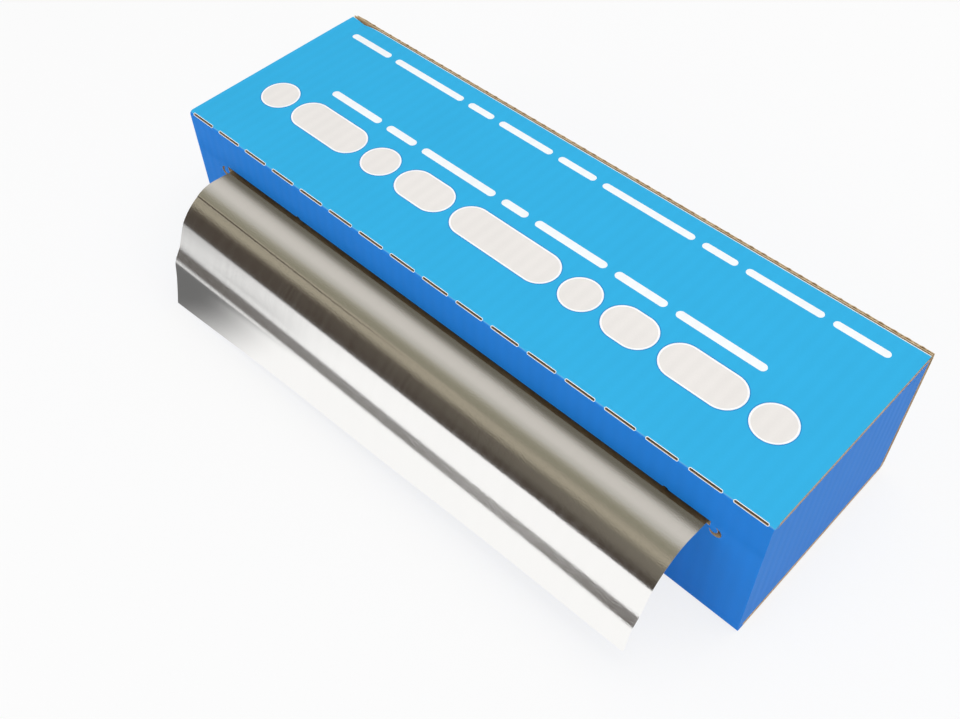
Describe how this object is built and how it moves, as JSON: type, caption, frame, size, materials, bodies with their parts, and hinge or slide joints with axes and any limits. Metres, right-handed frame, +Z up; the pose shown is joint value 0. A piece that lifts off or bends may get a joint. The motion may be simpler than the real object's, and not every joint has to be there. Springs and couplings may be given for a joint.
{
  "type": "aluminium foil roll in dispenser carton",
  "caption": "Catering foil roll lying in a corrugated dispenser carton, with the free end drawn out of the front slot and hanging to the table.",
  "frame": {"origin": "centre of the carton's bottom face", "axes": "+X along the carton and the roll, -Y towards the slot and the drawn-out foil, +Z up"},
  "size_m": [0.34, 0.1587, 0.082],
  "materials": {
    "corrugated_board": "printed light blue outside, brown kraft at the raw edges and inside",
    "aluminium_foil": "satin, with fine rolling lines",
    "core_board": "spiral-wound grey-brown board"
  },
  "bodies": {
    "root": {"carton": "corrugated_board", "foil": "aluminium_foil", "core_tube": "core_board"}
  },
  "joints": []
}
